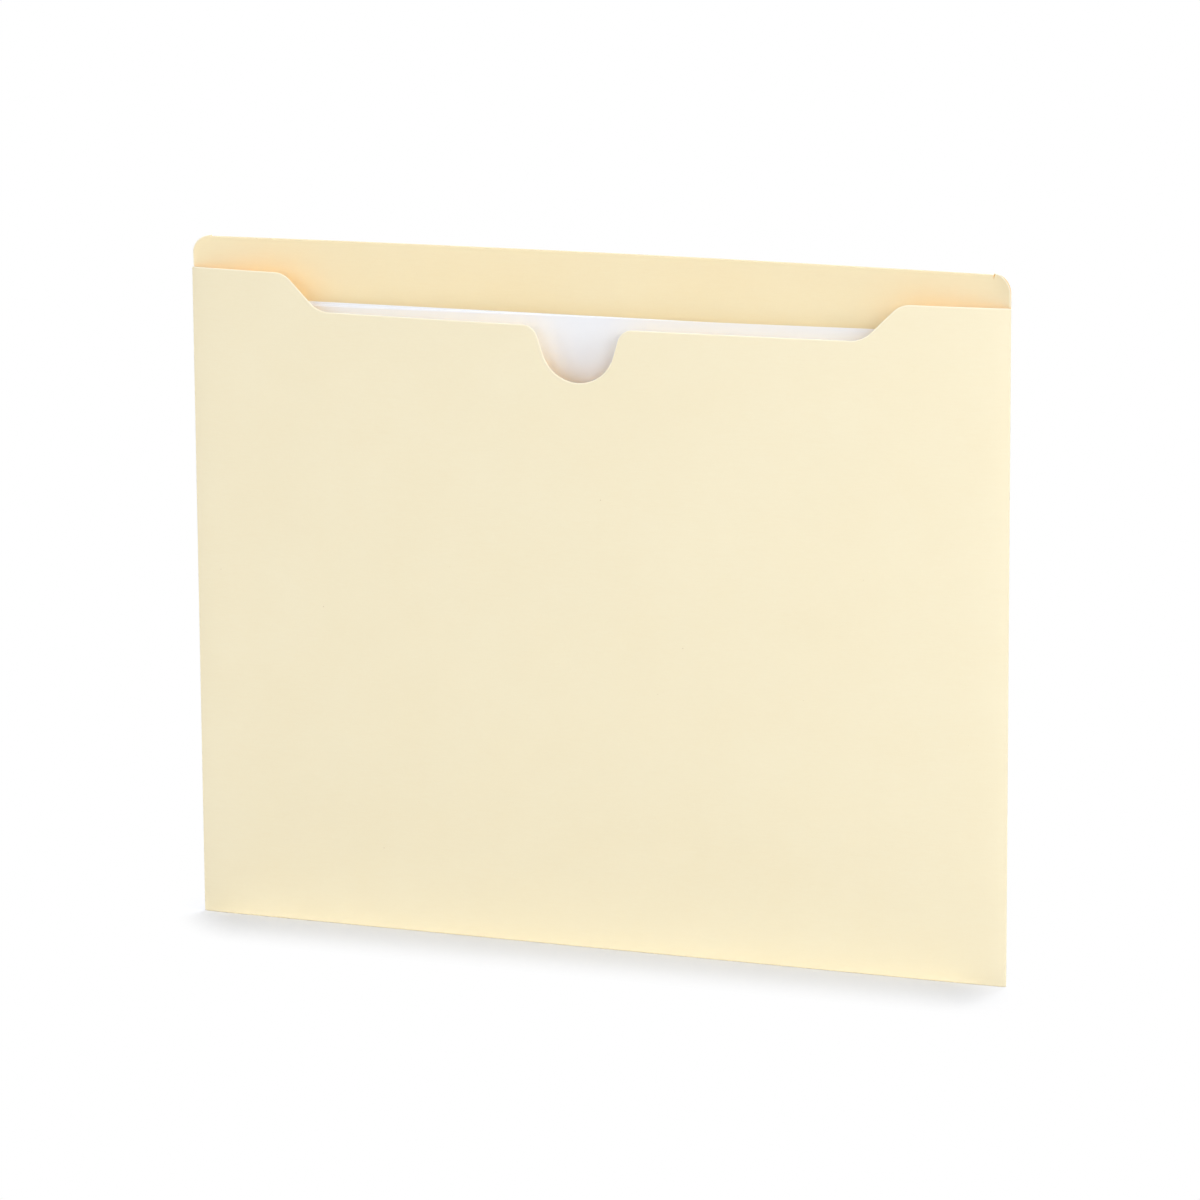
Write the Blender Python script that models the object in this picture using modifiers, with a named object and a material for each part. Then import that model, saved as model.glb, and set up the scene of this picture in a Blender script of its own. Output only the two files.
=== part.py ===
"""Flat file jacket of manila card, with an undercut front and a double-ply tab, holding loose letter sheets.

Metres, +Z up. The jacket stands on its bottom fold. X runs along the fold, the front faces -Y, and the plane
y = 0 lies midway between the front and the back at the side seams.
"""

from math import asin, atan2, cos, exp, hypot, pi, radians, sin, tan

import bmesh
import bpy
from mathutils import Vector

# Loose sheets: letter paper, long edge down
SHEET_WIDTH = 0.2794
SHEET_HEIGHT = 0.2159
SHEET_THICKNESS = 0.0001
SHEET_COUNT = 12
SHEET_GAP = 0.00003
SHEET_SEAT = 0.003
SHEET_STAGGER = 0.0003
SHEET_SHIFT = 0.0001
SHEET_SKEW = radians(0.32)
SHEET_SKEW_SPREAD = radians(0.32)

# Card, glue and the clearances between them
CARD = 0.0003
GLUE = 0.0001
GLUE_CLEARANCE = 0.0001
SCORE_GAP = 0.0001
WEDGE_CLEARANCE = 0.00015

# Side seams and bottom fold
SIDE_CLEARANCE = 0.00032
FLAP_WIDTH = 0.0079
FLAP_FOLD_GAP = 0.0002
FLAP_END_SLANT = radians(45)
FLAP_BELOW_SHOULDER = 0.0006
SEAM_GLUE_INSET = 0.0025
SEAM_GLUE_END = 0.012
BOTTOM_FOLD_FLAT = 0.0004

# Heights of the cut edges, each from the one before it
MOUTH_BELOW_SHEETS = 0.00292
SHOULDER_ABOVE_MOUTH = 0.0128
BACK_ABOVE_SHEETS = 0.02053

# Cut outline of the front's top edge
MOUTH_WIDTH = 0.1984
MOUTH_SLOPE = radians(44.5)
SHOULDER_RADIUS = 0.0085
MOUTH_RADIUS = 0.0105
NOTCH_WIDTH = 0.0318
NOTCH_DEPTH = 0.01905
NOTCH_BOTTOM_RADIUS = 0.0135
NOTCH_LIP_RADIUS = 0.0055
NOTCH_OFFSET = -0.0015

# Back panel and the tab's second ply
BACK_INSET = 0.00025
BACK_CORNER_RADIUS = 0.00635
BACK_CORNER_TIP = 0.0004
TAB_DEPTH = 0.0381
TAB_CLEARANCE = 0.001
TAB_GLUE_MARGIN = 0.005

# How far front and back stand out from the seams at the middle of the mouth, and how the sheets swell them
FRONT_BOW = 0.00835
BACK_BOW = 0.0074
SWELL_POWER = 16
SWELL_RISE = 0.00243
SWELL_RISE_POWER = 1.5

# Mesh fineness
PANEL_COLUMNS = 20
PANEL_ROWS = 14
ROW_CROWDING = 2.4
FLAP_COLUMNS = 4
FLAP_ROWS = 12
TAB_ROWS = 3
GLUE_STEPS = 3
FOLD_STEPS = 6
ARC_STEPS = 6
CUT_MARGIN = 0.004

# Sizes that follow from those above
STEEPEST_SKEW = SHEET_SKEW + SHEET_SKEW_SPREAD
SHEET_REACH = SHEET_WIDTH / 2 + SHEET_SHIFT + SHEET_HEIGHT / 2 * sin(STEEPEST_SKEW)
SHEET_MIDDLE = SHEET_SEAT + SHEET_HEIGHT / 2 * cos(STEEPEST_SKEW) + SHEET_WIDTH / 2 * sin(STEEPEST_SKEW)
SHEET_TOP = SHEET_MIDDLE + SHEET_HEIGHT / 2 + SHEET_STAGGER
SIDE = SHEET_REACH + SIDE_CLEARANCE + FLAP_WIDTH
JACKET_WIDTH = 2 * SIDE
MOUTH_HEIGHT = SHEET_TOP - MOUTH_BELOW_SHEETS
SHOULDER_HEIGHT = MOUTH_HEIGHT + SHOULDER_ABOVE_MOUTH
BACK_HEIGHT = SHEET_TOP + BACK_ABOVE_SHEETS
GLUE_LINE = CARD + GLUE + 2 * GLUE_CLEARANCE
FLAP_FOLD_RADIUS = (CARD + FLAP_FOLD_GAP) / 2
SEAM_HALF = FLAP_FOLD_RADIUS + GLUE_LINE / 2
BOTTOM_FOLD_RADIUS = SEAM_HALF - BOTTOM_FOLD_FLAT / 2
FOLD_TOP = CARD / 2 + BOTTOM_FOLD_RADIUS
PANEL_BOTTOM = FOLD_TOP + SCORE_GAP
FOLD_X = SIDE - CARD / 2 - FLAP_FOLD_RADIUS
FLAP_BOTTOM = PANEL_BOTTOM + SCORE_GAP
FLAP_TOP = SHOULDER_HEIGHT - FLAP_BELOW_SHOULDER
FLAP_REACH = FLAP_WIDTH - (SIDE - FOLD_X)
TAB_FOLD_RADIUS = GLUE_LINE / 2
TAB_FOLD_Z = BACK_HEIGHT - CARD / 2 - TAB_FOLD_RADIUS
STACK = SHEET_COUNT * SHEET_THICKNESS + (SHEET_COUNT - 1) * SHEET_GAP

# Linear colours
MANILA = (0.86, 0.76, 0.52)
WHITE_PAPER = (0.86, 0.85, 0.85)
DRIED_GLUE = (0.74, 0.66, 0.44)


def side_fall(x):
    """Swell across the width: level in the middle, falling to nothing at the seams."""
    return 1 - min(abs(x) / SIDE, 1) ** SWELL_POWER


def seat_rise(z):
    """Swell up the height: nothing at the bottom fold, where it starts upright, and full a little above it."""
    return 1 - exp(-(max(z - FOLD_TOP, 0) / SWELL_RISE) ** SWELL_RISE_POWER)


# The swell that just clears the stack of sheets at its lower corners, where the pocket is narrowest
SWELL = (STACK / 2 + WEDGE_CLEARANCE + CARD / 2 - SEAM_HALF) / (side_fall(SHEET_REACH) * seat_rise(SHEET_SEAT))


def bulge(x, z, bow, height):
    """How far a panel stands out from the seam: the swell round the sheets plus the bow of the open mouth."""
    arch = 1 - min(abs(x) / SIDE, 1) ** 2
    return SWELL * side_fall(x) * seat_rise(z) + (bow - SWELL) * arch * max(z, 0) / height


def front_bulge(x, z):
    return bulge(x, z, FRONT_BOW, MOUTH_HEIGHT)


def back_bulge(x, z):
    return bulge(x, z, BACK_BOW, BACK_HEIGHT)


def front_middle(x, z):
    """Point on the middle of the front ply."""
    return Vector((x, -SEAM_HALF - front_bulge(x, z), z))


def back_middle(x, z, inside=0.0):
    """Point on the middle of the back ply, or the given distance inside it."""
    return Vector((x, SEAM_HALF + back_bulge(x, z) - inside, z))


def clear_scene():
    for obj in list(bpy.data.objects):
        bpy.data.objects.remove(obj, do_unlink=True)


def new_collection(name):
    collection = bpy.data.collections.new(name)
    bpy.context.scene.collection.children.link(collection)
    return collection


def new_material(name, colour, roughness):
    material = bpy.data.materials.new(name)
    material.use_nodes = True
    shader = material.node_tree.nodes["Principled BSDF"]
    shader.inputs["Base Color"].default_value = (*colour, 1.0)
    shader.inputs["Roughness"].default_value = roughness
    shader.inputs["Metallic"].default_value = 0.0
    return material


def spaced(low, high, steps, crowding=1.0):
    """Values from low to high, crowded towards low where crowding is over 1."""
    return [low + (high - low) * (step / steps) ** crowding for step in range(steps + 1)]


def across(half_width, steps):
    """Values from -half_width to half_width, crowded towards both ends."""
    return [half_width * sin(pi / 2 * (2 * step / steps - 1)) for step in range(steps + 1)]


def add_ply(name, material, columns, rows, place, thickness=CARD):
    """A sheet of even thickness: a grid whose points go to place(column, row), thickened about its middle."""
    mesh = bpy.data.meshes.new(name)
    grid = bmesh.new()
    bmesh.ops.create_grid(grid, x_segments=len(columns) - 1, y_segments=len(rows) - 1, size=0.5)
    for vertex in grid.verts:
        column = columns[round((vertex.co.x + 0.5) * (len(columns) - 1))]
        row = rows[round((vertex.co.y + 0.5) * (len(rows) - 1))]
        vertex.co = place(column, row)
    grid.to_mesh(mesh)
    grid.free()
    mesh.shade_smooth()
    mesh.materials.append(material)
    obj = bpy.data.objects.new(name, mesh)
    parts.objects.link(obj)
    obj.parent = jacket
    solidify = obj.modifiers.new("card", "SOLIDIFY")
    solidify.thickness = thickness
    solidify.offset = 0.0
    return obj


def rounded(corners):
    """Outline points of a polygon of (x, z, radius) corners, each corner with a radius drawn as an arc."""
    points = []
    for index, (x, z, radius) in enumerate(corners):
        corner = Vector((x, z))
        if not radius:
            points.append(corner)
            continue
        before = (Vector(corners[index - 1][:2]) - corner).normalized()
        after = (Vector(corners[(index + 1) % len(corners)][:2]) - corner).normalized()
        half_angle = before.angle(after) / 2
        centre = corner + (before + after).normalized() * radius / sin(half_angle)
        start = corner + before * radius / tan(half_angle) - centre
        end = corner + after * radius / tan(half_angle) - centre
        turn = start.angle_signed(end)
        for step in range(ARC_STEPS + 1):
            angle = atan2(start.y, start.x) - turn * step / ARC_STEPS
            points.append(centre + radius * Vector((cos(angle), sin(angle))))
    return points


def add_outline_cutter(name, corners):
    """A prism along Y whose section is the given outline, as a mesh that can trim a ply."""
    curve = bpy.data.curves.new(name + "_outline", "CURVE")
    curve.dimensions = "2D"
    curve.fill_mode = "BOTH"
    curve.extrude = JACKET_WIDTH / 4
    points = rounded(corners)
    spline = curve.splines.new("POLY")
    spline.points.add(len(points) - 1)
    for point, place in zip(spline.points, points):
        point.co = (place.x, place.y, 0.0, 1.0)
    spline.use_cyclic_u = True
    outline = bpy.data.objects.new(name + "_outline", curve)
    cutters.objects.link(outline)
    outline.rotation_euler.x = pi / 2
    bpy.context.view_layer.update()
    evaluated = outline.evaluated_get(bpy.context.evaluated_depsgraph_get())
    mesh = bpy.data.meshes.new_from_object(evaluated)
    solid = bmesh.new()
    solid.from_mesh(mesh)
    bmesh.ops.remove_doubles(solid, verts=solid.verts, dist=1e-7)
    bmesh.ops.recalc_face_normals(solid, faces=solid.faces)
    solid.to_mesh(mesh)
    solid.free()
    cutter = bpy.data.objects.new(name, mesh)
    cutters.objects.link(cutter)
    cutter.matrix_world = outline.matrix_world.copy()
    cutter.hide_render = True
    cutter.display_type = "WIRE"
    bpy.data.objects.remove(outline, do_unlink=True)
    return cutter


def trim(obj, cutter):
    """Keep only what lies inside the cutter's outline."""
    boolean = obj.modifiers.new("outline", "BOOLEAN")
    boolean.operation = "INTERSECT"
    boolean.solver = "EXACT"
    boolean.object = cutter


def notch_corners():
    """The thumb notch as a rounded V, whose sides run from the lips to touch the bottom arc."""
    half = NOTCH_WIDTH / 2
    arc_drop = NOTCH_DEPTH - NOTCH_BOTTOM_RADIUS
    lip_to_arc = hypot(half, arc_drop)
    side_lean = atan2(half, arc_drop) - asin(NOTCH_BOTTOM_RADIUS / lip_to_arc)
    apex = MOUTH_HEIGHT - half / tan(side_lean)
    return [
        (NOTCH_OFFSET - half, MOUTH_HEIGHT, NOTCH_LIP_RADIUS),
        (NOTCH_OFFSET, apex, NOTCH_BOTTOM_RADIUS),
        (NOTCH_OFFSET + half, MOUTH_HEIGHT, NOTCH_LIP_RADIUS),
    ]


def front_corners():
    """Shoulders at both sides, slopes down to the mouth line, and the notch in the middle of it."""
    mouth = MOUTH_WIDTH / 2
    slope_run = SHOULDER_ABOVE_MOUTH / tan(MOUTH_SLOPE)
    outside = SIDE + CUT_MARGIN
    return [
        (-outside, -CUT_MARGIN, 0),
        (-outside, SHOULDER_HEIGHT, 0),
        (-mouth - slope_run, SHOULDER_HEIGHT, SHOULDER_RADIUS),
        (-mouth, MOUTH_HEIGHT, MOUTH_RADIUS),
        *notch_corners(),
        (mouth, MOUTH_HEIGHT, MOUTH_RADIUS),
        (mouth + slope_run, SHOULDER_HEIGHT, SHOULDER_RADIUS),
        (outside, SHOULDER_HEIGHT, 0),
        (outside, -CUT_MARGIN, 0),
    ]


def back_top_corners():
    """Round top corners of the back, shared by both plies of the tab; their tips stand above the fold."""
    half = SIDE - BACK_INSET
    top = BACK_HEIGHT + BACK_CORNER_TIP
    return [(-half, top, BACK_CORNER_RADIUS), (half, top, BACK_CORNER_RADIUS)]


def back_corners():
    half = SIDE - BACK_INSET
    return [(-half, -CUT_MARGIN, 0), *back_top_corners(), (half, -CUT_MARGIN, 0)]


def tab_corners():
    """Full width above the side flaps, then slanting in to pass between them."""
    half = SIDE - BACK_INSET
    inner = SIDE - FLAP_WIDTH - TAB_CLEARANCE
    full_width_from = FLAP_TOP + TAB_CLEARANCE
    slant_end = full_width_from - (half - inner) * tan(FLAP_END_SLANT)
    below = BACK_HEIGHT - TAB_DEPTH - CUT_MARGIN
    return [
        (-inner, below, 0),
        (-inner, slant_end, 0),
        (-half, full_width_from, 0),
        *back_top_corners(),
        (half, full_width_from, 0),
        (inner, slant_end, 0),
        (inner, below, 0),
    ]


def add_front_panel():
    half = FOLD_X - SCORE_GAP
    rows = spaced(PANEL_BOTTOM, SHOULDER_HEIGHT + CUT_MARGIN, PANEL_ROWS, ROW_CROWDING)
    panel = add_ply("front_panel", manila, across(half, PANEL_COLUMNS), rows, front_middle)
    trim(panel, add_outline_cutter("front_outline_cutter", front_corners()))


def add_back_panel():
    rows = spaced(PANEL_BOTTOM, TAB_FOLD_Z - SCORE_GAP, PANEL_ROWS, ROW_CROWDING)
    panel = add_ply("back_panel", manila, across(SIDE + CUT_MARGIN, PANEL_COLUMNS), rows, back_middle)
    trim(panel, add_outline_cutter("back_outline_cutter", back_corners()))


def add_tab_ply():
    """The back's top folded forward and down inside it: rows 0 to 1 go round the fold, the rest down the ply."""

    def place(x, row):
        if row <= 1:
            angle = pi * row
            z = TAB_FOLD_Z + TAB_FOLD_RADIUS * sin(angle)
            return back_middle(x, z, TAB_FOLD_RADIUS * (1 - cos(angle)))
        return back_middle(x, TAB_FOLD_Z - (row - 1), GLUE_LINE)

    ply_length = TAB_FOLD_Z - (BACK_HEIGHT - TAB_DEPTH)
    rows = spaced(0, 1, FOLD_STEPS) + spaced(1, 1 + ply_length, TAB_ROWS)[1:]
    ply = add_ply("tab_ply", manila, across(SIDE + CUT_MARGIN, PANEL_COLUMNS), rows, place)
    trim(ply, add_outline_cutter("tab_outline_cutter", tab_corners()))


def add_bottom_fold():
    """A narrow trough with a flat base: two quarter rounds, swept straight along X."""
    quarter = spaced(0, pi / 2, FOLD_STEPS // 2)
    flat = BOTTOM_FOLD_FLAT / 2
    section = [(-flat - BOTTOM_FOLD_RADIUS * cos(a), FOLD_TOP - BOTTOM_FOLD_RADIUS * sin(a)) for a in quarter]
    section += [(-y, z) for y, z in reversed(section)]

    def place(x, step):
        y, z = section[step]
        return Vector((x, y, z))

    add_ply("bottom_fold", manila, [-FOLD_X, FOLD_X], list(range(len(section))), place)


def add_side_flap(name, side):
    """A flap folded in from the front's edge: columns 0 to 1 go round the fold, the rest across the flap."""

    def place(column, row):
        angle = pi * (min(column, 1) - 0.5)
        inset = max(column - 1, 0)
        x = side * (FOLD_X + FLAP_FOLD_RADIUS * cos(angle) - inset)
        slant = inset * tan(FLAP_END_SLANT)
        z = FLAP_BOTTOM + slant + (FLAP_TOP - FLAP_BOTTOM - 2 * slant) * row
        share = min(column, 1)
        y = -SEAM_HALF + FLAP_FOLD_RADIUS * (1 + sin(angle))
        return Vector((x, y + share * back_bulge(x, z) - (1 - share) * front_bulge(x, z), z))

    columns = spaced(0, 1, FOLD_STEPS) + spaced(1, 1 + FLAP_REACH, FLAP_COLUMNS)[1:]
    add_ply(name, manila, columns, spaced(0, 1, FLAP_ROWS, ROW_CROWDING / 2), place)


def add_seam_glue(name, side):
    """Glue line between a side flap and the back."""
    inside = CARD / 2 + GLUE_CLEARANCE + GLUE / 2
    outer = FOLD_X - SEAM_GLUE_INSET
    inner = SIDE - FLAP_WIDTH + GLUE_CLEARANCE
    columns = [side * x for x in spaced(inner, outer, GLUE_STEPS)]
    rows = spaced(SEAM_GLUE_END, FLAP_TOP - SEAM_GLUE_END, FLAP_ROWS)
    add_ply(name, glue, columns, rows, lambda x, z: back_middle(x, z, inside), GLUE)


def add_tab_glue():
    """Glue line between the tab's two plies."""
    inside = CARD / 2 + GLUE_CLEARANCE + GLUE / 2
    inner = SIDE - FLAP_WIDTH - TAB_CLEARANCE - TAB_GLUE_MARGIN
    columns = [x for x in across(SIDE + CUT_MARGIN, PANEL_COLUMNS) if abs(x) < inner]
    rows = spaced(BACK_HEIGHT - TAB_DEPTH + TAB_GLUE_MARGIN, TAB_FOLD_Z - TAB_GLUE_MARGIN, GLUE_STEPS)
    add_ply("tab_glue", glue, columns, rows, lambda x, z: back_middle(x, z, inside), GLUE)


def uneven(index, phase):
    """A repeatable spread of values from -1 to 1, one for each sheet."""
    golden_angle = 2.39996
    return sin(golden_angle * index + phase)


def add_paper_sheets():
    """Flat sheets side by side through the pocket, fanned from askew at the front to upright at the back."""
    mesh = bpy.data.meshes.new("letter_sheet")
    block = bmesh.new()
    bmesh.ops.create_cube(block, size=1.0)
    bmesh.ops.scale(block, vec=(SHEET_WIDTH, SHEET_THICKNESS, SHEET_HEIGHT), verts=block.verts)
    block.to_mesh(mesh)
    block.free()
    mesh.materials.append(paper)
    for index in range(SHEET_COUNT):
        skew = SHEET_SKEW + SHEET_SKEW_SPREAD * (1 - 2 * index / (SHEET_COUNT - 1))
        lift = SHEET_STAGGER * (1 + uneven(index, 1.0)) / 2
        y = -STACK / 2 + SHEET_THICKNESS / 2 + index * (SHEET_THICKNESS + SHEET_GAP)
        sheet = bpy.data.objects.new(f"paper_sheet_{index + 1:02d}", mesh)
        sheet.location = (SHEET_SHIFT * uneven(index, 2.0), y, SHEET_MIDDLE + lift)
        sheet.rotation_euler.y = -skew
        sheet.parent = jacket
        parts.objects.link(sheet)


clear_scene()
parts = new_collection("file_jacket")
cutters = new_collection("cutters")
manila = new_material("manila_card", MANILA, 0.8)
paper = new_material("white_paper", WHITE_PAPER, 0.85)
glue = new_material("dried_glue", DRIED_GLUE, 0.5)
jacket = bpy.data.objects.new("jacket_base", None)
parts.objects.link(jacket)

add_front_panel()
add_back_panel()
add_bottom_fold()
add_side_flap("left_side_flap", -1)
add_side_flap("right_side_flap", 1)
add_tab_ply()
add_seam_glue("left_seam_glue", -1)
add_seam_glue("right_seam_glue", 1)
add_tab_glue()
add_paper_sheets()
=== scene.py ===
"""Looks of a manila file jacket that stands slightly open round a dozen letter sheets.

Every piece of card or paper is a thin closed sheet round a grid of middle points.
Metres, +Z up, front at -Y.
"""

from math import asin, atan2, cos, hypot, pi, radians, sin, tan

import bmesh
import bpy
import numpy as np
from mathutils import Matrix, Vector


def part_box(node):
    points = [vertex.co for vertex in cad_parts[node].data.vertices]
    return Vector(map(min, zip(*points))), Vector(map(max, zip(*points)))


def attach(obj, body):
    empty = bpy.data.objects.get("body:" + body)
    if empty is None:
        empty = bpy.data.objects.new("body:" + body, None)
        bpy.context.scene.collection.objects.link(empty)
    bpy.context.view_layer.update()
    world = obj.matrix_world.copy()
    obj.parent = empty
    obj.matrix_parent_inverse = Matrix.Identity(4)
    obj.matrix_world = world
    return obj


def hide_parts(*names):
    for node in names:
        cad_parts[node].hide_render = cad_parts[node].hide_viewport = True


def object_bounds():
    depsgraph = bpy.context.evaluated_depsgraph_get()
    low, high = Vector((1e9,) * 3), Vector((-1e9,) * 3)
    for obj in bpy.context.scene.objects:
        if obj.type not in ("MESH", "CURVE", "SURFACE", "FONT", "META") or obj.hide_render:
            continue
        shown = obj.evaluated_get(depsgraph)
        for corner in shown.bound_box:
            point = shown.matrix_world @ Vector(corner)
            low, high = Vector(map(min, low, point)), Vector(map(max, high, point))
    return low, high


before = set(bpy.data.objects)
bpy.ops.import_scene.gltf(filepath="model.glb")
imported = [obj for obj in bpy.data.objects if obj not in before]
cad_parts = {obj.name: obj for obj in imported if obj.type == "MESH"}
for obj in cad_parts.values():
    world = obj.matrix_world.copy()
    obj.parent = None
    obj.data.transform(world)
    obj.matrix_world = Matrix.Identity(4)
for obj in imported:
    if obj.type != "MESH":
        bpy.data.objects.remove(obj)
cad_low, cad_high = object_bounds()

# Places read from the frame
SIDE = cad_high.x
BACK_HEIGHT = cad_high.z
FOLD_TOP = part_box("bottom_fold")[1].z
SEAM_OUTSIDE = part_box("bottom_fold")[1].y
SHOULDER_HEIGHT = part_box("front_panel")[1].z
FLAP_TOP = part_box("left_side_flap")[1].z
FLAP_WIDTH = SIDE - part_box("right_side_flap")[0].x
TAB_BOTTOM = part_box("tab_ply")[0].z

# Card and the plies at the seams
CARD = 0.0003
CUT_ROLL = 0.0005
GLUE_LINE = 0.0006
SEAM_HALF = SEAM_OUTSIDE - CARD / 2
FLAP_FOLD_RADIUS = SEAM_HALF - GLUE_LINE / 2
FOLD_X = SIDE - CARD / 2 - FLAP_FOLD_RADIUS
FLAP_LIFT = 0.0002
FLAP_BOTTOM = FOLD_TOP + FLAP_LIFT
BOTTOM_FOLD_FLAT = 0.0004

# Cut outline of the front's top edge
SHOULDER_ABOVE_MOUTH = 0.0128
MOUTH_HEIGHT = SHOULDER_HEIGHT - SHOULDER_ABOVE_MOUTH
MOUTH_WIDTH = 0.1984
MOUTH_SLOPE = radians(44.5)
SHOULDER_RADIUS = 0.0085
MOUTH_RADIUS = 0.0105
NOTCH_WIDTH = 0.0318
NOTCH_DEPTH = 0.01905
NOTCH_BOTTOM_RADIUS = 0.0135
NOTCH_LIP_RADIUS = 0.0055
NOTCH_OFFSET = -0.0015

# The tab's two plies, which part at the round corners beyond the ends of their fold
BACK_INSET = 0.00025
BACK_HALF = SIDE - BACK_INSET
CORNER_RADIUS = 0.00635
CORNER_TIP = 0.0004
CORNER_SPRING = 0.001
SLIT_WIDTH = 0.0007
SLIT_DEPTH = 0.0022
TAB_FOLD_RADIUS = GLUE_LINE / 2
TAB_FOLD_Z = BACK_HEIGHT - CARD / 2 - TAB_FOLD_RADIUS
TAB_FOLD_END = BACK_HALF - CORNER_RADIUS
TAB_CLEARANCE = 0.001

# Painted shade of the pocket, 0 on plain card and 1 on the deeper, warmer copy of it: its share on the tab's
# face inside, then the heights of the pale strip inside the mouth and of the ramp into the shade below it
TAB_POCKET_SHADE = 0.23
MOUTH_PALE = 0.008
MOUTH_SHADE_RAMP = 0.007

# How far the panels stand out from the seams
FRONT_BOW = 0.00835
BACK_BOW = 0.0074
SWELL = 0.0009
SWELL_POWER = 40
SWELL_RISE = 0.004
SWELL_RISE_POWER = 1.5
HANDLING_HEIGHT = 0.00012
HANDLING_WAVES = ((52, 21, 1), (-31, 47, 2), (17, 83, -1))
FRONT_PHASE = 0.7
BACK_PHASE = 2.1

# Letter sheets
SHEET_WIDTH = 0.2794
SHEET_HEIGHT = 0.2159
SHEET_THICKNESS = 0.0001
SHEET_ROLL = 0.00006
SHEET_BOW = 0.0006
SHEET_SETTLE = 0.0004
SHEET_FAN = 0.00016
SHEET_PRESS = 0.79
SHEET_RISE_POWER = 1.5
RIPPLE_HEIGHT = 0.0001
RIPPLE_WAVES = ((31, 0.0), (58, 1.0))

# Linear colours, each pair the darker and the paler end of a finish
PLAIN_CARD = (0.948, 0.836, 0.573, 1.0), (0.978, 0.894, 0.653, 1.0)
# The deeper, warmer copy of the card: painted shade for faces inside the pocket
POCKET_SHADE_CARD = (0.945, 0.650, 0.215, 1.0), (0.975, 0.720, 0.285, 1.0)
FLECK = (0.50, 0.36, 0.17, 1.0)
RUBBED_FOLD = (0.97, 0.91, 0.70, 1.0)
# Soiled folds, on the tab's crest partly painted shade that damps the lamps' highlight
SOILED_FOLD_AND_SHADE = (0.70, 0.60, 0.39, 1.0)
# Pale cut edges of the card, brightened further as a painted highlight
CUT_CARD_AND_HIGHLIGHT = (0.98, 0.93, 0.76, 1.0)
WHITE_PAPER = (0.898, 0.916, 0.948, 1.0), (0.928, 0.946, 0.978, 1.0)
CUT_PAPER = (0.88, 0.89, 0.91, 1.0)
DRIED_GLUE = (0.70, 0.60, 0.36, 1.0), (0.80, 0.72, 0.50, 1.0)
WHITE = (1.0, 1.0, 1.0, 1.0)

# Lumps to the metre along X, Y and Z in the card's fibres, which lie level
FIBRE_SCALE = (240, 240, 2600)

# Floor: how far it keeps the object's shadow, its look, and the light that it throws back
FLOOR_HALF = 12.0
SHADOW_MIDDLE = -0.004
SHADOW_HALF = 0.131
SHADOW_LEAN = 0.4
SHADOW_AHEAD = 0.041
SHADOW_BESIDE = 0.028
FLOOR_TINT = (0.76, 0.78, 0.83, 1.0)
FLOOR_BOUNCE = (0.60, 0.60, 0.60, 1.0)
FLOOR_BOUNCE_NEAR = (0.98, 0.98, 0.98, 1.0)

# Studio: softboxes by name, azimuth and elevation in degrees, and power in watts
WORLD_LEVEL = 0.1
LAMP_SIZE = 0.6
LAMP_DISTANCE = 1.8
LAMP_TINT = (0.992, 1.0, 1.026)
SOFTBOXES = (
    ("right", 70, 15, 9.0),
    ("left", -80, 25, 4.2),
    ("right_high", 65, 45, 3.6),
    ("left_high", -58, 45, 4.2),
    ("front_right", 40, 16, 6.8),
    ("front_left", -48, 16, 3.8),
    ("front", 0, 8, 4.2),
    ("top", 0, 86, 4.5),
    ("top_back", 180, 74, 22.0),
    ("back", 165, 20, 10.5),
)
DIFFUSE_BOUNCES = 12
ALL_BOUNCES = 16

# Camera
CAMERA_AZIMUTH = 22.08
CAMERA_ELEVATION = 11.28
CAMERA_ROLL = radians(-0.37)
CAMERA_AIM = Vector((0.0026, 0.0, 0.12275))
CAMERA_DISTANCE = 2.015
CAMERA_LENS = 177.0
CAMERA_SENSOR = 36.0

# Mesh fineness
CUT_STEPS = 6
CUT_ANGLES = np.linspace(0.0, pi / 2, CUT_STEPS)
CUT_LAND = 0.2
LEAST_COSINE = 0.2
FRONT_COLUMNS = 420
BACK_COLUMNS = 160
PANEL_ROWS = 72
PANEL_CROWDING = 1.6
TAB_COLUMNS = 200
TAB_ROWS = 28
TAB_CROWDING = 2.0
TAB_FOLD_STEPS = 13
CORNER_COLUMNS = 24
BASE_COLUMNS = 120
BASE_FOLD_STEPS = 8
FLAP_COLUMNS = 8
FLAP_CROWDING = 1.3
FLAP_FOLD_STEPS = 15
SHEET_COLUMNS = 60
SHEET_ROWS = 48
LINE_ARC_STEPS = 40
SLOPE_STEP = 1e-5
SMOOTH_ANGLE = radians(40)
WELD = 1e-7


def eased(share):
    """A smooth step: 0 up to a share of 0, 1 from a share of 1, and s * s * (3 - 2 * s) between."""
    share = np.clip(share, 0, 1)
    return share ** 2 * (3 - 2 * share)


def side_fall(x):
    """Swell across the width: one in the middle, falling to nothing at the seams."""
    return 1 - np.minimum(np.abs(x) / SIDE, 1) ** SWELL_POWER


def seat_rise(z):
    """Swell up the height: nothing at the bottom fold, where it starts upright, and full just above it."""
    return 1 - np.exp(-(np.maximum(z - FOLD_TOP, 0) / SWELL_RISE) ** SWELL_RISE_POWER)


def bulge(x, z, bow, height):
    """How far a panel stands out from the seam.

    The swell round the sheets, plus the bow of the open mouth: a parabola across the width that grows in
    proportion to the height.
    """
    arch = 1 - np.minimum(np.abs(x) / SIDE, 1) ** 2
    return SWELL * side_fall(x) * seat_rise(z) + (bow - SWELL) * arch * np.maximum(z, 0) / height


def handling_waves(x, z, phase):
    """Faint unevenness of handled card: three crossing sine waves, dying out at the seams and the fold.

    Each wave has its radians to the metre across and up, and its multiple of the phase.
    """
    waves = sum(np.sin(across * x + up * z + turn * phase) for across, up, turn in HANDLING_WAVES)
    return HANDLING_HEIGHT * waves / 2 * side_fall(x) * seat_rise(z)


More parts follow.
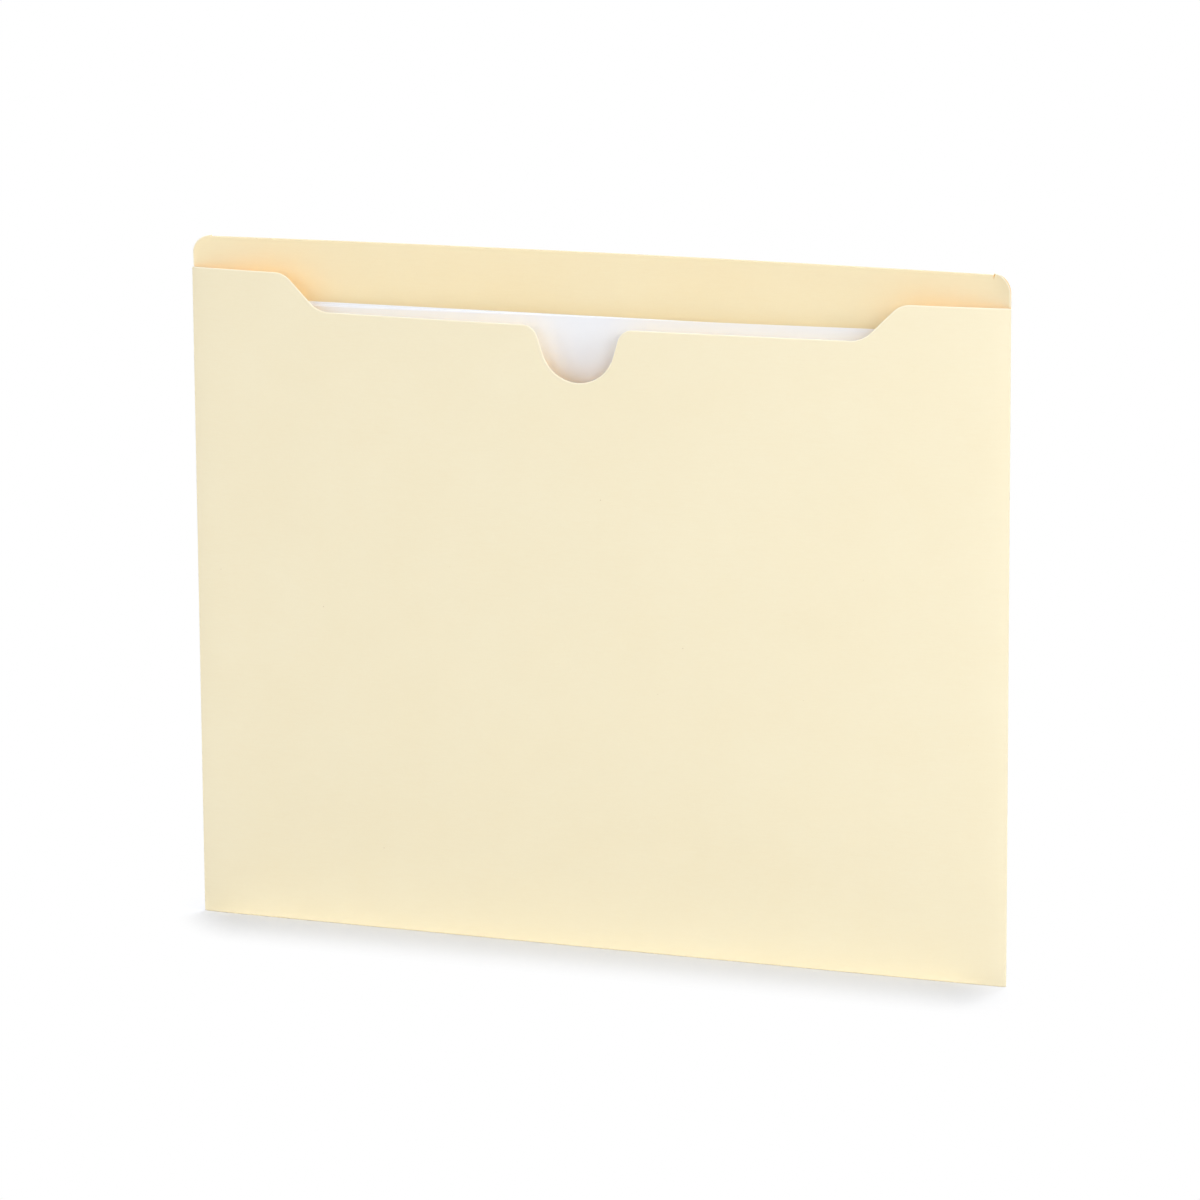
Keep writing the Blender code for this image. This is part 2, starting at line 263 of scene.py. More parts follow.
def front_y(x, z):
    """Middle of the front ply."""
    return -SEAM_HALF - bulge(x, z, FRONT_BOW, MOUTH_HEIGHT) + handling_waves(x, z, FRONT_PHASE)


def back_y(x, z, inside=0.0):
    """Middle of the back ply, or of a ply the given distance inside it."""
    return SEAM_HALF + bulge(x, z, BACK_BOW, BACK_HEIGHT) + handling_waves(x, z, BACK_PHASE) - inside


def corner_spring(x, z):
    """How far the tab's inner ply stands forward at a free corner.

    It grows as a smooth step of the distance past the fold's end, and with the square of the nearness to the
    top.
    """
    past_fold = eased((np.abs(x) - TAB_FOLD_END) / CORNER_RADIUS)
    nearness = np.clip((z - FLAP_TOP) / (BACK_HEIGHT - FLAP_TOP), 0, 1)
    return CORNER_SPRING * past_fold * nearness ** 2


def tab_y(x, z):
    """Middle of the tab's inner ply."""
    return back_y(x, z, GLUE_LINE) - corner_spring(x, z)


def rungs(low, high, steps, low_roll=None, high_roll=None, crowding=1.0):
    """Places from one edge of a sheet to the other, and the share of its thickness at each.

    A cut edge is a quarter ellipse, as deep as its roll: at angle a the place is roll * (1 - cos a) from the
    edge, and the share is sin a. A narrow flat land follows it, so that the roll shades only itself. Between
    the edges the places are even, or crowded towards low by a power.
    """
    low, high = np.broadcast_arrays(np.atleast_1d(low), np.atleast_1d(high))
    low, high = low[:, None], high[:, None]
    cut = np.append(1 - np.cos(CUT_ANGLES), 1 + CUT_LAND)
    cut_share = np.append(np.sin(CUT_ANGLES), 1.0)
    start = low if low_roll is None else low + low_roll * cut[-1]
    end = high if high_roll is None else high - high_roll * cut[-1]
    places = [start + (end - start) * np.linspace(0, 1, steps) ** crowding]
    shares = [np.ones(steps)]
    if low_roll is not None:
        places.insert(0, low + low_roll * cut[:-1])
        shares.insert(0, cut_share[:-1])
    if high_roll is not None:
        places.append(high - high_roll * cut[-2::-1])
        shares.append(cut_share[-2::-1])
    return np.hstack(places), np.concatenate(shares)


def sheet_faces(middle, share, thickness):
    """Points and quads of a closed sheet round a grid of middle points.

    Each face lies half the thickness, times the share there, off the grid along its normal, which is the
    cross product of the grid's two directions. A rim of quads joins the borders of the two faces.
    """
    normal = np.cross(np.gradient(middle, axis=0), np.gradient(middle, axis=1))
    normal /= np.linalg.norm(normal, axis=2, keepdims=True)
    offset = normal * (thickness / 2 * share)[..., None]
    points = np.stack([middle + offset, middle - offset])
    outer, inner = np.arange(points.size // 3).reshape(points.shape[:3])
    quads = []
    for face in (outer, inner[:, ::-1]):
        corners = [face[:-1, :-1], face[1:, :-1], face[1:, 1:], face[:-1, 1:]]
        quads.append(np.stack(corners, axis=2).reshape(-1, 4))
    border, facing = (
        np.concatenate([face[:-1, 0], face[-1, :-1], face[:0:-1, -1], face[0, :0:-1]])
        for face in (outer, inner)
    )
    quads.append(np.stack([np.roll(border, -1), border, facing, np.roll(facing, -1)], axis=1))
    return points.reshape(-1, 3), np.concatenate(quads)


def add_piece(name, sheets, thickness, material):
    """One mesh of closed sheets, each given as (middle points, thickness shares, fold marks, shade shares).

    The attribute cut is one along cut edges; a fold-mark attribute is one along rubbed folds and minus one
    along soiled ones, which are partly painted shade; and a shade attribute gives the share of the painted
    shade of the pocket on the sheet's first face and on its second.
    """
    points, quads, cut, wear_and_shade, pocket_shade = [], [], [], [], []
    for middle, share, fold_wear_and_shade, tones in sheets:
        share = np.broadcast_to(share, middle.shape[:2])
        sheet_points, sheet_quads = sheet_faces(middle, share, thickness)
        quads.append(sheet_quads + sum(len(done) for done in points))
        points.append(sheet_points)
        cut.append(np.tile(np.sqrt(1 - share ** 2).ravel(), 2))
        wear_and_shade.append(np.tile(np.broadcast_to(fold_wear_and_shade, share.shape).ravel(), 2))
        pocket_shade.extend(np.broadcast_to(tone, share.shape).ravel() for tone in tones)
    mesh = bpy.data.meshes.new(name)
    mesh.from_pydata(np.concatenate(points).tolist(), [], np.concatenate(quads).tolist())
    for label, values in (("cut", cut), ("wear_and_shade", wear_and_shade), ("pocket_shade", pocket_shade)):
        attribute = mesh.attributes.new(label, "FLOAT", "POINT")
        attribute.data.foreach_set("value", np.concatenate(values).astype(np.float32))
    welded = bmesh.new()
    welded.from_mesh(mesh)
    bmesh.ops.remove_doubles(welded, verts=welded.verts, dist=WELD)
    welded.to_mesh(mesh)
    welded.free()
    mesh.shade_smooth()
    mesh.set_sharp_from_angle(angle=SMOOTH_ANGLE)
    mesh.materials.append(material)
    piece = bpy.data.objects.new(name, mesh)
    bpy.context.scene.collection.objects.link(piece)
    return piece


def place(piece, node, body):
    """The piece moves with the body and stands for the CAD node, which is hidden."""
    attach(piece, body)
    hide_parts(node)


def rounded_line(corners, count):
    """Points spaced evenly along a line of (place, radius) corners, each inner corner turned by an arc.

    Places are complex numbers, x + iz. The arc's centre lies on the corner's bisector, radius / sin(half the
    angle) from it, and the arc is its first radius turned by a growing angle.
    """
    runs = [np.array([corners[0][0]])]
    for (before, _), (corner, radius), (after, _) in zip(corners, corners[1:], corners[2:]):
        back = (before - corner) / abs(before - corner)
        ahead = (after - corner) / abs(after - corner)
        half_angle = abs(np.angle(ahead / back)) / 2
        centre = corner + (back + ahead) / abs(back + ahead) * radius / sin(half_angle)
        first = corner + back * radius / tan(half_angle) - centre
        last = corner + ahead * radius / tan(half_angle) - centre
        runs.append(centre + first * np.exp(1j * np.angle(last / first) * np.linspace(0, 1, LINE_ARC_STEPS)))
    runs.append(np.array([corners[-1][0]]))
    line = np.concatenate(runs)
    along = np.concatenate([[0], np.cumsum(np.abs(np.diff(line)))])
    return np.interp(np.linspace(0, along[-1], count), along, line)


def front_top_line():
    """The front's top edge: shoulders, slopes down to the mouth line, and the notch as a rounded V in it.

    The V's sides lean at the angle at which its bottom arc just reaches the notch's depth.
    """
    half_notch = NOTCH_WIDTH / 2
    arc_drop = NOTCH_DEPTH - NOTCH_BOTTOM_RADIUS
    side_lean = atan2(half_notch, arc_drop) - asin(NOTCH_BOTTOM_RADIUS / hypot(half_notch, arc_drop))
    mouth = MOUTH_WIDTH / 2
    slope_end = mouth + SHOULDER_ABOVE_MOUTH / tan(MOUTH_SLOPE)
    shoulder, lip = 1j * SHOULDER_HEIGHT, 1j * MOUTH_HEIGHT
    return rounded_line([
        (-FOLD_X + shoulder, 0),
        (-slope_end + shoulder, SHOULDER_RADIUS),
        (-mouth + lip, MOUTH_RADIUS),
        (NOTCH_OFFSET - half_notch + lip, NOTCH_LIP_RADIUS),
        (NOTCH_OFFSET + lip - 1j * half_notch / tan(side_lean), NOTCH_BOTTOM_RADIUS),
        (NOTCH_OFFSET + half_notch + lip, NOTCH_LIP_RADIUS),
        (mouth + lip, MOUTH_RADIUS),
        (slope_end + shoulder, SHOULDER_RADIUS),
        (FOLD_X + shoulder, 0),
    ], FRONT_COLUMNS)


def add_front_panel(material):
    """The front: columns under even steps of its top line, from the bottom fold up to the cut edge.

    Inside, painted shade of the pocket: a pale strip below the mouth, and a tone that deepens downwards
    and past the mouth's ends.
    """
    top = front_top_line()
    slope = np.gradient(top.imag) / np.gradient(top.real)
    roll = (CUT_ROLL * np.sqrt(1 + slope ** 2))[:, None]
    z, share = rungs(FOLD_TOP, top.imag, PANEL_ROWS, high_roll=roll, crowding=PANEL_CROWDING)
    x = np.broadcast_to(top.real[:, None], z.shape)
    middle = np.stack([x, front_y(x, z), z], axis=2)
    # Painted shade of the pocket on the inner face: pale below the mouth, deeper downwards and past its ends
    below_strip = eased((MOUTH_HEIGHT - MOUTH_PALE - z) / MOUTH_SHADE_RAMP)
    past_mouth = eased((np.abs(x) - MOUTH_WIDTH / 2) / MOUTH_SHADE_RAMP)
    pocket_shade = np.maximum(below_strip, past_mouth)
    piece = add_piece("front_panel_card", [(middle, share, 0.0, (0, pocket_shade))], CARD, material)
    place(piece, "front_panel", "jacket")


def back_corner(side, low, steps, surface, tones, slit=0.0):
    """A free top corner of one of the tab's plies, with its cut edge round the corner.

    Columns stand under even steps of the corner's arc, the last of them rolled over at the side edge. The
    cut edge's roll is taken upright, so it is divided by the cosine of the edge's slope, down to a least
    cosine. A slit beside the fold's end opens upwards with the square of the height above its foot. The left
    corner is a mirror image, which swaps the sheet's two faces and so their tones.
    """
    angle = np.linspace(0, pi / 2, CORNER_COLUMNS)
    x = TAB_FOLD_END + CORNER_RADIUS * np.sin(angle)
    top = BACK_HEIGHT + CORNER_TIP - CORNER_RADIUS * (1 - np.cos(angle))
    from_side = np.clip((BACK_HALF - x) / CUT_ROLL, 0, 1)
    side_share = np.sqrt(1 - (1 - from_side) ** 2)
    roll = (CUT_ROLL / np.maximum(np.cos(angle), LEAST_COSINE))[:, None]
    z, share = rungs(low(x), top, steps, high_roll=roll)
    opening = slit * np.clip((z - BACK_HEIGHT + SLIT_DEPTH) / SLIT_DEPTH, 0, 1) ** 2
    x = side * (x[:, None] + opening * (1 - np.sin(angle))[:, None] ** 2)
    middle = np.stack([x, surface(x, z), z], axis=2)
    return middle, share * side_share[:, None], 0.0, tones[::side]


def back_low(x):
    """Lower edge of the back: level along the bottom fold."""
    return np.full(x.shape, FOLD_TOP)


def add_back_panel(material):
    """The back: its middle up to the tab's fold, and its two round corners beside the fold's ends."""
    x = rungs(-TAB_FOLD_END, TAB_FOLD_END, BACK_COLUMNS)[0][0]
    z, share = rungs(back_low(x), TAB_FOLD_Z, PANEL_ROWS, crowding=PANEL_CROWDING)
    wide = np.broadcast_to(x[:, None], z.shape)
    # The face inside the pocket takes the painted pocket shade
    sheets = [(np.stack([wide, back_y(wide, z), z], axis=2), share, 0.0, (1, 0))]
    for side in (-1, 1):
        sheets.append(back_corner(side, back_low, PANEL_ROWS, back_y, (1, 0)))
    piece = add_piece("back_panel_card", sheets, CARD, material)
    place(piece, "back_panel", "jacket")


def tab_low(x):
    """Lower edge of the tab's inner ply: level between the flaps, and rising at 45 degrees above them."""
    inner = SIDE - FLAP_WIDTH - TAB_CLEARANCE
    slant = FLAP_TOP + TAB_CLEARANCE - (BACK_HALF - np.abs(x))
    return np.where(np.abs(x) <= inner, TAB_BOTTOM, slant)


def add_tab_ply(material):
    """The back's top folded forward and down inside it.

    Round the fold, at angle a from 0 to pi, the middle is TAB_FOLD_RADIUS * sin a above the fold's axis and
    TAB_FOLD_RADIUS * (1 - cos a) inside the back. The ply then runs straight down.
    """
    x = rungs(-TAB_FOLD_END, TAB_FOLD_END, TAB_COLUMNS)[0][0]
    turn = np.linspace(0, pi, TAB_FOLD_STEPS)[None, :]
    z, share = rungs(TAB_FOLD_Z, tab_low(x), TAB_ROWS, high_roll=-CUT_ROLL, crowding=TAB_CROWDING)
    fold_z = np.broadcast_to(TAB_FOLD_Z + TAB_FOLD_RADIUS * np.sin(turn), (len(x), turn.size))
    height = np.hstack([fold_z[:, :-1], z])
    wide = np.broadcast_to(x[:, None], height.shape)
    inside = np.hstack([TAB_FOLD_RADIUS * (1 - np.cos(turn[:, :-1])), np.full((1, z.shape[1]), GLUE_LINE)])
    middle = np.stack([wide, back_y(wide, height) - inside, height], axis=2)
    share = np.concatenate([np.ones(turn.size - 1), share])
    # The crest of the tab's fold is soiled, and darkened partly as painted shade against the lamps'
    # highlight
    wear_and_shade = -np.concatenate([np.sin(turn[0, :-1]), np.zeros(z.shape[1])])
    # The tab takes the painted pocket shade, one face only in part
    sheets = [(middle, share, wear_and_shade, (1, TAB_POCKET_SHADE))]
    for side, slit in ((-1, 0.0), (1, SLIT_WIDTH)):
        sheets.append(back_corner(side, tab_low, TAB_ROWS, tab_y, (TAB_POCKET_SHADE, 1), slit))
    piece = add_piece("tab_ply_card", sheets, CARD, material)
    place(piece, "tab_ply", "jacket")


def add_bottom_fold(material):
    """The base: a quarter round, a narrow flat and a quarter round, swept straight from seam to seam."""
    x, share = rungs(-FOLD_X, FOLD_X, BASE_COLUMNS, CUT_ROLL, CUT_ROLL)
    half_flat = BOTTOM_FOLD_FLAT / 2
    radius = SEAM_HALF - half_flat
    turn = np.linspace(0, pi / 2, BASE_FOLD_STEPS)
    y = np.concatenate([-half_flat - radius * np.cos(turn), half_flat + radius * np.sin(turn)])
    z = FOLD_TOP - radius * np.concatenate([np.sin(turn), np.cos(turn)])
    wide, y = np.broadcast_arrays(x[0][:, None], y)
    middle = np.stack([wide, y, np.broadcast_to(z, y.shape)], axis=2)
    wear_and_shade = (FOLD_TOP - z) / radius
    # One face of the base takes the painted pocket shade
    piece = add_piece("bottom_fold_card", [(middle, share[:, None], wear_and_shade, (1, 0))], CARD, material)
    place(piece, "bottom_fold", "jacket")


def add_side_flap(side, name, material):
    """A flap folded in from the front's side edge and glued to the back.

    The fold is an arc that leaves the front and meets the flap at their own slopes, p and q: its angle runs
    from p - 90 to 90 - q degrees, and its radius is the distance between the two plies / (cos p + cos q).
    The flap's ends slant at 45 degrees.
    """
    bend = np.linspace(0, 1, FLAP_FOLD_STEPS)
    inset, inset_share = rungs(0.0, FLAP_WIDTH - (SIDE - FOLD_X), FLAP_COLUMNS, high_roll=CUT_ROLL)
    inset = np.concatenate([np.zeros(bend.size - 1), inset[0]])
    bend = np.concatenate([bend, np.ones(inset.size - bend.size)])
    top = SHOULDER_HEIGHT + (FLAP_TOP - SHOULDER_HEIGHT) * bend - inset
    bottom = FLAP_BOTTOM * (1 - np.sin(pi * bend)) + inset
    z, end_share = rungs(bottom, top, PANEL_ROWS, CUT_ROLL, CUT_ROLL, crowding=FLAP_CROWDING)
    inner_x = FOLD_X - SLOPE_STEP
    front_slope = np.arctan((front_y(FOLD_X, z) - front_y(inner_x, z)) / SLOPE_STEP)
    back_slope = np.arctan((back_y(inner_x, z) - back_y(FOLD_X, z)) / SLOPE_STEP)
    gap = back_y(FOLD_X, z, GLUE_LINE) - front_y(FOLD_X, z)
    radius = gap / (np.cos(front_slope) + np.cos(back_slope))
    angle = (front_slope - pi / 2) + (pi - front_slope - back_slope) * bend[:, None]
    fold_x = FOLD_X + radius * (np.cos(angle) - np.sin(front_slope))
    fold_y = front_y(FOLD_X, z) + radius * (np.cos(front_slope) + np.sin(angle))
    flat_x = FOLD_X - inset[:, None] + 0 * z
    on_flap = inset[:, None] > 0
    x = np.where(on_flap, flat_x, fold_x)
    y = np.where(on_flap, back_y(flat_x, z, GLUE_LINE), fold_y)
    middle = np.stack([side * x, y, z], axis=2)
    share = end_share * np.concatenate([np.ones(z.shape[0] - inset_share.size), inset_share])[:, None]
    wear_and_shade = (np.sin(pi * bend) * (inset == 0))[:, None]
    # The flap's face inside takes the painted pocket shade
    tones = (0, 1) if side > 0 else (1, 0)
    piece = add_piece(name + "_card", [(middle, share, wear_and_shade, tones)], CARD, material)
    place(piece, name, "jacket")


def add_paper_sheet(index, material):
    """A letter sheet at its place and turn in the frame, bowed forward with the open mouth.

    The bow is a parabola across the width, times a power of the share of the height. The sheets behind the
    first fan back from it in the same way, the fold presses their lower edges together, and two faint sine
    waves run through them all.
    """
    node = f"paper_sheet_{index:02d}"
    low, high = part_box(node)
    centre = (low + high) / 2
    skew = (high.z - low.z - SHEET_HEIGHT) / SHEET_WIDTH
    u, u_share = rungs(-SHEET_WIDTH / 2, SHEET_WIDTH / 2, SHEET_COLUMNS, SHEET_ROLL, SHEET_ROLL)
    v, v_share = rungs(-SHEET_HEIGHT / 2, SHEET_HEIGHT / 2, SHEET_ROWS, SHEET_ROLL, SHEET_ROLL)
    u, v = np.broadcast_arrays(u[0][:, None], v[0][None, :])
    x = centre.x + u * cos(skew) - v * sin(skew)
    z = centre.z - SHEET_SETTLE + u * sin(skew) + v * cos(skew)
    rise = (v / SHEET_HEIGHT + 0.5) ** SHEET_RISE_POWER
    arch = (1 - (u / (SHEET_WIDTH / 2)) ** 2) * rise
    waves = sum(np.sin(across * x + phase) for across, phase in RIPPLE_WAVES)
    ripple = RIPPLE_HEIGHT * rise * waves / 2
    pressed = SHEET_PRESS + (1 - SHEET_PRESS) * rise
    y = centre.y * pressed + (SHEET_FAN * (index - 1) - SHEET_BOW) * arch + ripple
    middle = np.stack([x, y, z], axis=2)
    share = u_share[:, None] * v_share
    name = f"letter_sheet_{index:02d}"
    piece = add_piece(name, [(middle, share, 0.0, (0, 0))], SHEET_THICKNESS, material)
    place(piece, node, f"sheet_{index:02d}")


def finish_glue_lines(material):
    """The glue lines keep their CAD meshes and take the glue's finish."""
    for node in ("left_seam_glue", "right_seam_glue", "tab_glue"):
        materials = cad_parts[node].data.materials
        materials.clear()
        materials.append(material)


class Tone:
    """One output of a material's nodes. Arithmetic with numbers or other tones adds Math nodes."""

    def __init__(self, socket):
        self.socket = socket

    def node(self, kind, settings, inputs, output=0):
        """Another node of the same material: settings, then numbers, colours or tones for its sockets."""
        tree = self.socket.id_data
        made = tree.nodes.new(kind)
        for name, value in settings.items():
            setattr(made, name, value)
        for name, value in inputs.items():
            if isinstance(value, Tone):
                tree.links.new(value.socket, made.inputs[name])
            else:
                made.inputs[name].default_value = value
        return Tone(made.outputs[output])

    def maths(self, operation, first, second):
        """A Math node on two numbers or tones."""
        return self.node("ShaderNodeMath", {"operation": operation}, {0: first, 1: second})

    def __add__(self, other):
        return self.maths("ADD", self, other)

    __radd__ = __add__

    def __sub__(self, other):
        return self.maths("SUBTRACT", self, other)

    def __rsub__(self, other):
        return self.maths("SUBTRACT", other, self)

    def __mul__(self, other):
        return self.maths("MULTIPLY", self, other)

    __rmul__ = __mul__

    def noise(self, scale, detail=2.0, roughness=0.5):
        """Noise at these coordinates, with about scale lumps in a metre."""
        sockets = {"Vector": self, "Scale": scale, "Detail": detail, "Roughness": roughness}
        return self.node("ShaderNodeTexNoise", {}, sockets)

    def stretched(self, turn, scale):
        """These coordinates scaled and then turned about Y: noise there draws fibres, each turn its own."""
        sockets = {"Vector": self, "Rotation": (0.0, turn, 0.0), "Scale": scale}
        return self.node("ShaderNodeMapping", {}, sockets)

    def step(self, low, high):
        """A smooth step from 0 at low to 1 at high."""
        sockets = {"Value": self, "From Min": low, "From Max": high}
        return self.node("ShaderNodeMapRange", {"interpolation_type": "SMOOTHSTEP"}, sockets)

    def mix(self, first, second):
        """The first colour where this tone is 0, the second where it is 1."""
        return self.node("ShaderNodeMix", {"data_type": "RGBA"}, {0: self, 6: first, 7: second}, output=2)

    def attribute(self, name):
        """The value of one of the mesh's attributes."""
        return self.node("ShaderNodeAttribute", {"attribute_name": name}, {}, output=2)


def new_finish(name):
    """A new material, with its Object coordinates as a tone."""
    material = bpy.data.materials.new(name)
    material.use_nodes = True
    coordinates = material.node_tree.nodes.new("ShaderNodeTexCoord")
    return material, Tone(coordinates.outputs["Object"])


def set_shader(material, links, constants):
    """Links and plain numbers for the sockets of the material's shader."""
    shader = material.node_tree.nodes["Principled BSDF"]
    for name, tone in links.items():
        material.node_tree.links.new(tone.socket, shader.inputs[name])
    for name, value in constants.items():
        shader.inputs[name].default_value = value


def manila_finish():
    """Manila card: cloudy formation, pressed felt grain, two layers of level fibres and sparse flecks.

    Faces turned into the pocket take a deeper, warmer tone as painted shade, folds are rubbed or soiled, the
    soiled crest darkened partly as painted shade, and cut edges are pale with a painted highlight.
    """
    material, here = new_finish("manila_card_finish")
    cloud = here.noise(scale=38, detail=3)
    felt = here.noise(scale=1100, detail=3, roughness=0.6)
    upper = here.stretched(turn=0.4, scale=FIBRE_SCALE).noise(scale=1)
    lower = here.stretched(turn=-0.9, scale=FIBRE_SCALE).noise(scale=1)
    fibre = upper + lower
    tone = 0.5 + 0.55 * (cloud - 0.5) + 0.35 * (felt - 0.5) + 0.3 * (fibre - 1.0)
    plain_card = tone.mix(*PLAIN_CARD)
    shaded_card = tone.mix(*POCKET_SHADE_CARD)
    # Painted shade: the deeper, warmer copy of the card on faces inside the pocket
    card = here.attribute("pocket_shade").mix(plain_card, shaded_card)
    cells = here.node("ShaderNodeTexVoronoi", {}, {"Vector": here, "Scale": 110.0})
    fleck = 1 - cells.step(low=0.012, high=0.026)
    chosen = here.noise(scale=23, detail=0).step(low=0.52, high=0.6)
    card = (0.5 * fleck * chosen).mix(card, FLECK)
    wear_and_shade = here.attribute("wear_and_shade")
    scuffs = here.noise(scale=420).step(low=0.3, high=0.7)
    card = (0.25 * wear_and_shade * scuffs).mix(card, RUBBED_FOLD)
    # Soiled folds; on the tab's crest the darkening is partly painted shade against the lamps' highlight
    card = (-0.8 * wear_and_shade).mix(card, SOILED_FOLD_AND_SHADE)
    # Pale cut edges, brightened further as a painted highlight along them
    card = (0.8 * here.attribute("cut")).mix(card, CUT_CARD_AND_HIGHLIGHT)
    height = 0.6 * felt + 0.4 * fibre
    normal = here.node("ShaderNodeBump", {}, {"Height": height, "Strength": 0.3, "Distance": 0.00006})
    roughness = 0.66 + 0.2 * felt
    links = {"Base Color": card, "Roughness": roughness, "Normal": normal}
    set_shader(material, links, {"Specular IOR Level": 0.35})
    return material


def paper_finish():
    """White copy paper: faint formation and fine tooth, with slightly greyer cut edges."""
    material, here = new_finish("white_paper_finish")
    cloud = here.noise(scale=70, detail=3)
    tooth = here.noise(scale=2400, roughness=0.6)
    tone = 0.5 + 0.6 * (cloud - 0.5) + 0.5 * (tooth - 0.5)
    paper = tone.mix(*WHITE_PAPER)
    paper = (0.6 * here.attribute("cut")).mix(paper, CUT_PAPER)
    normal = here.node("ShaderNodeBump", {}, {"Height": tooth, "Strength": 0.2, "Distance": 0.00003})
    roughness = 0.78 + 0.15 * tooth
    links = {"Base Color": paper, "Roughness": roughness, "Normal": normal}
    set_shader(material, links, {"Specular IOR Level": 0.3})
    return material


def glue_finish():
    """Dried paste: amber, half glossy, with thin and thick patches and pinholes."""
    material, here = new_finish("dried_glue_finish")
    patches = here.noise(scale=160, detail=3)
    cells = here.node("ShaderNodeTexVoronoi", {}, {"Vector": here, "Scale": 700.0})
    pinholes = 1 - cells.step(low=0.1, high=0.2)
    glue = patches.mix(*DRIED_GLUE)
    height = patches - 0.5 * pinholes
    normal = here.node("ShaderNodeBump", {}, {"Height": height, "Strength": 0.4, "Distance": 0.0001})
    roughness = 0.3 + 0.3 * patches
    set_shader(material, {"Base Color": glue, "Roughness": roughness, "Normal": normal}, {})
    return material


def seen_directly(tree):
    """One for rays that show the backdrop: those of the camera, and those mirrored or let through to it."""
    path = tree.nodes.new("ShaderNodeLightPath")
    kinds = ("Camera", "Glossy", "Transmission")
    camera, glossy, through = (Tone(path.outputs[f"Is {kind} Ray"]) for kind in kinds)
    return camera.maths("MAXIMUM", camera, camera.maths("MAXIMUM", glossy, through))


def add_floor():
    """A white floor that keeps the shadow near the object and is plain white further off.

    The far share is a smooth step of a length with three parts, each in units of the shadow's reach: how
    far a point lies past the ends of a leaning strip along the base, ahead of the base, and behind it.
    """
    mesh = bpy.data.meshes.new("floor")
    corners = [(-1, -1, 0), (1, -1, 0), (1, 1, 0), (-1, 1, 0)]
    mesh.from_pydata((FLOOR_HALF * np.array(corners)).tolist(), [], [(0, 1, 2, 3)])
    floor = bpy.data.objects.new("floor", mesh)
    bpy.context.scene.collection.objects.link(floor)
    material, here = new_finish("floor_white")
    mesh.materials.append(material)
    across = here.node("ShaderNodeSeparateXYZ", {}, {0: here})
    along = here.node("ShaderNodeSeparateXYZ", {}, {0: here}, output=1)
    leant = across + SHADOW_LEAN * along - SHADOW_MIDDLE
    aside = across.node("ShaderNodeMath", {"operation": "ABSOLUTE"}, {0: leant})
    beside = across.maths("MAXIMUM", aside - SHADOW_HALF, 0.0)
    ahead = along.maths("MAXIMUM", -1.0 * along, 0.0) * (1 / SHADOW_AHEAD)
    behind = along.maths("MAXIMUM", along, 0.0) * (1 / SHADOW_BESIDE)
    spread = here.node("ShaderNodeCombineXYZ", {}, {0: beside * (1 / SHADOW_BESIDE), 1: ahead, 2: behind})
    length = here.node("ShaderNodeVectorMath", {"operation": "LENGTH"}, {0: spread}, output=1)
    far = length.step(low=0.0, high=1.0)
    tree = material.node_tree
    seen = seen_directly(tree)
    white = seen * far
    bounce = far.mix(FLOOR_BOUNCE_NEAR, FLOOR_BOUNCE)
    tint = seen.mix(bounce, FLOOR_TINT)
    set_shader(material, {"Base Color": tint}, {"Roughness": 0.9, "Specular IOR Level": 0.0})
    glow = here.node("ShaderNodeEmission", {}, {"Color": WHITE, "Strength": 1.0})
    lit = Tone(tree.nodes["Principled BSDF"].outputs[0])
    surface = here.node("ShaderNodeMixShader", {}, {0: white, 1: lit, 2: glow})
    tree.links.new(surface.socket, tree.nodes["Material Output"].inputs["Surface"])


def add_world(level):
    """Even soft light from all round, and white where the background shows."""
    world = bpy.data.worlds.new("studio")
    world.use_nodes = True
    bpy.context.scene.world = world
    strength = level + (1 - level) * seen_directly(world.node_tree)
    background = world.node_tree.nodes["Background"]
    background.inputs["Color"].default_value = WHITE
    world.node_tree.links.new(strength.socket, background.inputs["Strength"])


def towards(azimuth, elevation):
    """Unit vector from the object to a viewer or lamp: azimuth 0 is in front, and grows to the right."""
    azimuth, elevation = radians(azimuth), radians(elevation)
    return Vector((sin(azimuth) * cos(elevation), -cos(azimuth) * cos(elevation), sin(elevation)))


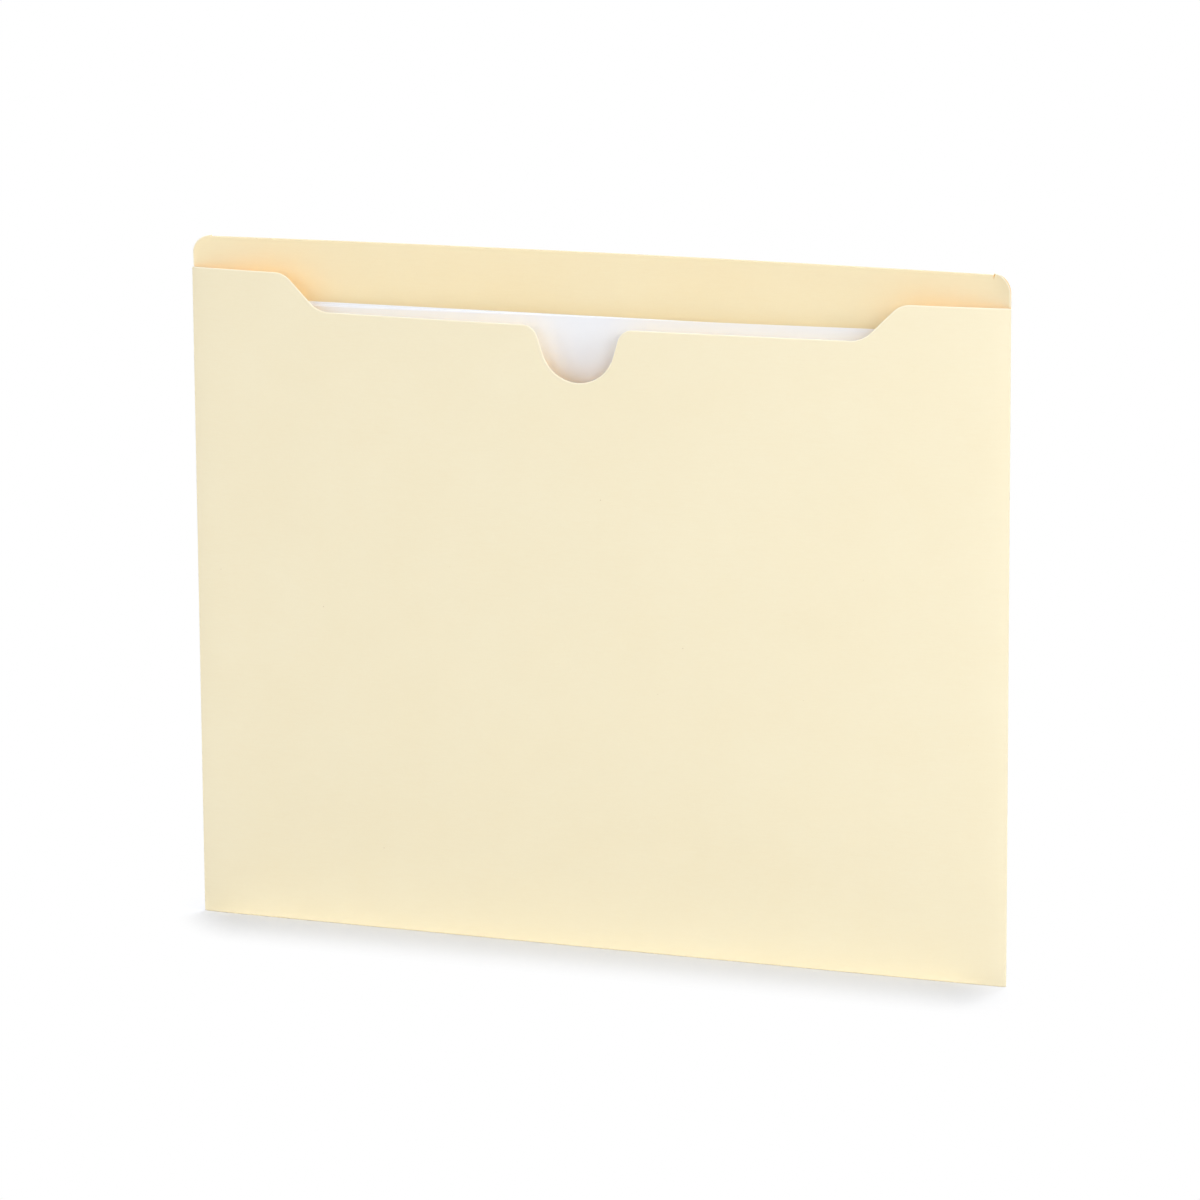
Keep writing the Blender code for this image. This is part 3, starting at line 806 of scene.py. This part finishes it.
def add_softbox(name, azimuth, elevation, power):
    """A square lamp that faces the middle of the object."""
    lamp = bpy.data.lights.new(name, "AREA")
    lamp.size = LAMP_SIZE
    lamp.energy = power
    lamp.color = LAMP_TINT
    softbox = bpy.data.objects.new(name, lamp)
    bpy.context.scene.collection.objects.link(softbox)
    back = towards(azimuth, elevation)
    softbox.location = Vector((0.0, 0.0, BACK_HEIGHT / 2)) + back * LAMP_DISTANCE
    softbox.rotation_euler = back.to_track_quat("Z", "Y").to_euler()


def add_camera():
    """The photograph's view: from the right and a little above, through a long lens, slightly rolled."""
    back = towards(CAMERA_AZIMUTH, CAMERA_ELEVATION)
    level = Vector((0.0, 0.0, 1.0)).cross(back).normalized()
    upright = back.cross(level)
    right = level * cos(CAMERA_ROLL) + upright * sin(CAMERA_ROLL)
    up = upright * cos(CAMERA_ROLL) - level * sin(CAMERA_ROLL)
    data = bpy.data.cameras.new("camera")
    data.lens = CAMERA_LENS
    data.sensor_width = CAMERA_SENSOR
    camera = bpy.data.objects.new("camera", data)
    bpy.context.scene.collection.objects.link(camera)
    turn = Matrix((right, up, back)).transposed().to_4x4()
    camera.matrix_world = Matrix.Translation(CAMERA_AIM + back * CAMERA_DISTANCE) @ turn
    bpy.context.scene.camera = camera


bpy.context.scene.view_settings.view_transform = "Standard"
bpy.context.scene.cycles.diffuse_bounces = DIFFUSE_BOUNCES
bpy.context.scene.cycles.max_bounces = ALL_BOUNCES
add_camera()
manila = manila_finish()
paper = paper_finish()
glue = glue_finish()
add_front_panel(manila)
add_back_panel(manila)
add_tab_ply(manila)
add_bottom_fold(manila)
add_side_flap(-1, "left_side_flap", manila)
add_side_flap(1, "right_side_flap", manila)
finish_glue_lines(glue)
sheet_nodes = [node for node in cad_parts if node.startswith("paper_sheet_")]
for index in range(1, len(sheet_nodes) + 1):
    add_paper_sheet(index, paper)
add_floor()
add_world(WORLD_LEVEL)
for name, azimuth, elevation, power in SOFTBOXES:
    add_softbox(name, azimuth, elevation, power)
